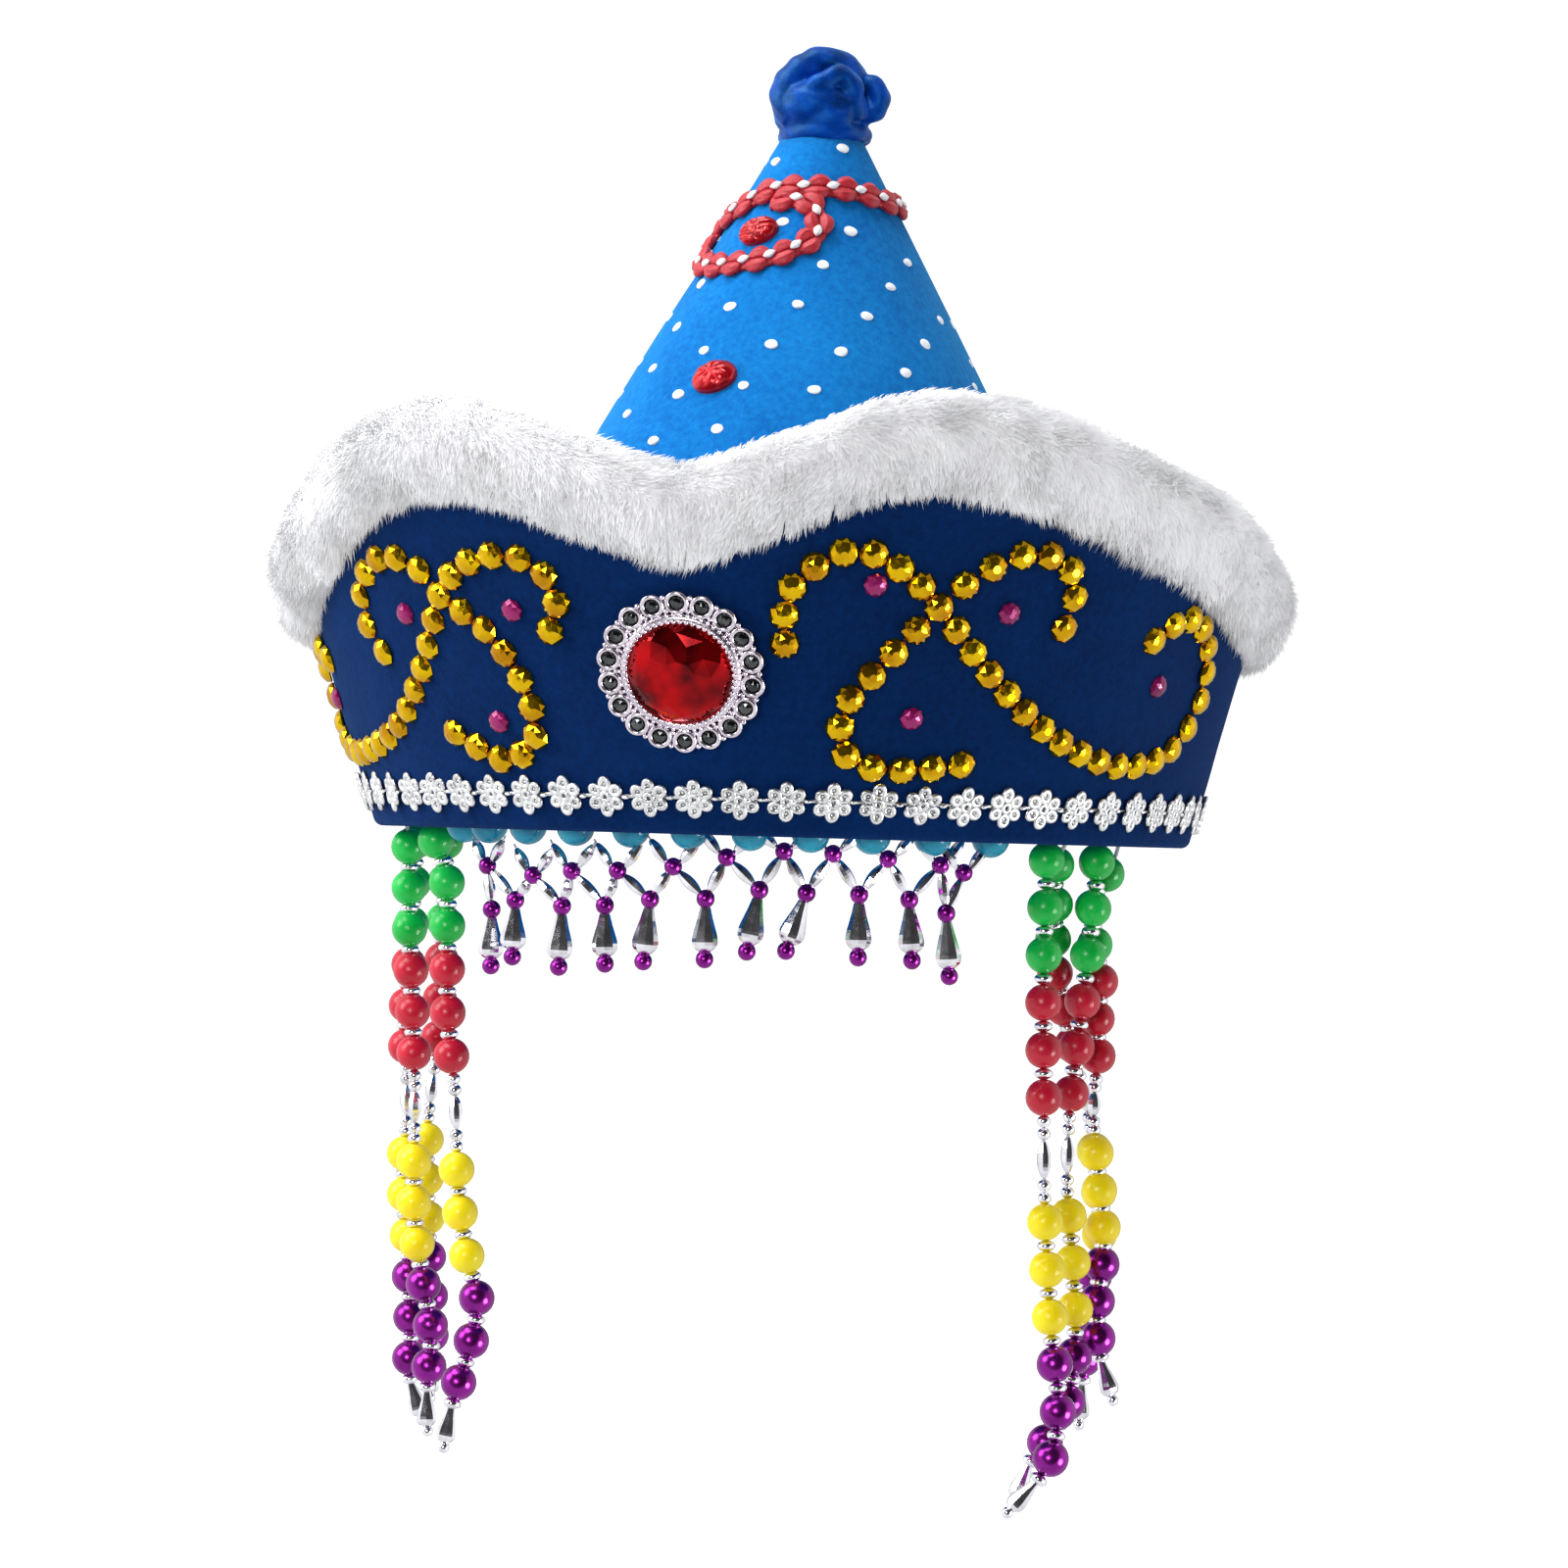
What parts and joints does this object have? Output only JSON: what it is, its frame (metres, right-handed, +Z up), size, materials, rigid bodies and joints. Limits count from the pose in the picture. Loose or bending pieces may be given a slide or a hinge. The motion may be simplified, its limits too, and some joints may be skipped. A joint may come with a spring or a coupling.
{
  "type": "mongolian dance hat",
  "caption": "Pointed felt dance hat with a flared fur-edged band, stone scrolls, a bead fringe and hanging bead strings at the sides.",
  "frame": {"origin": "centre of the head opening, in the plane of the band's lower edge, where the hat sits on a head", "axes": "+Z up along the cone, -Y towards the front with the medallion, +X to the right as seen from the front"},
  "size_m": [0.2304, 0.2505, 0.3231],
  "materials": {
    "band_felt": "matt deep blue felt",
    "crown_felt": "matt bright blue felt with small white dots",
    "white_fur": "soft white plush pile",
    "knot_cloth": "blue short-pile velvet",
    "red_braid": "red gimp braid with white stitches",
    "ruby_stone": "clear red cut acrylic",
    "silver_plastic": "silver plated plastic",
    "gold_stone": "foil-backed gold cut acrylic",
    "magenta_stone": "magenta cut acrylic",
    "fringe_bead": "glossy teal, purple and silver beads",
    "string_bead": "glossy green, red, yellow and purple beads with silver between"
  },
  "bodies": {
    "root": {"brim_band": "band_felt", "crown": "crown_felt", "fur_trim": "white_fur", "top_knot": "knot_cloth", "crown_braid": "red_braid", "crown_stone_upper": "ruby_stone", "crown_stone_lower": "ruby_stone", "medallion_setting": "silver_plastic", "medallion_stone": "ruby_stone", "flower_tape": "silver_plastic", "gold_scroll_left": "gold_stone", "magenta_stone_left_1": "magenta_stone", "magenta_stone_left_2": "magenta_stone", "magenta_stone_left_3": "magenta_stone", "magenta_stone_left_4": "magenta_stone", "gold_scroll_right": "gold_stone", "magenta_stone_right_1": "magenta_stone", "magenta_stone_right_2": "magenta_stone", "magenta_stone_right_3": "magenta_stone", "magenta_stone_right_4": "magenta_stone", "front_fringe": "fringe_bead", "bead_string_right_1": "string_bead", "bead_string_right_2": "string_bead", "bead_string_left_1": "string_bead", "bead_string_left_2": "string_bead", "bead_string_right_3": "string_bead", "bead_string_right_4": "string_bead", "bead_string_left_3": "string_bead", "bead_string_left_4": "string_bead"}
  },
  "joints": []
}
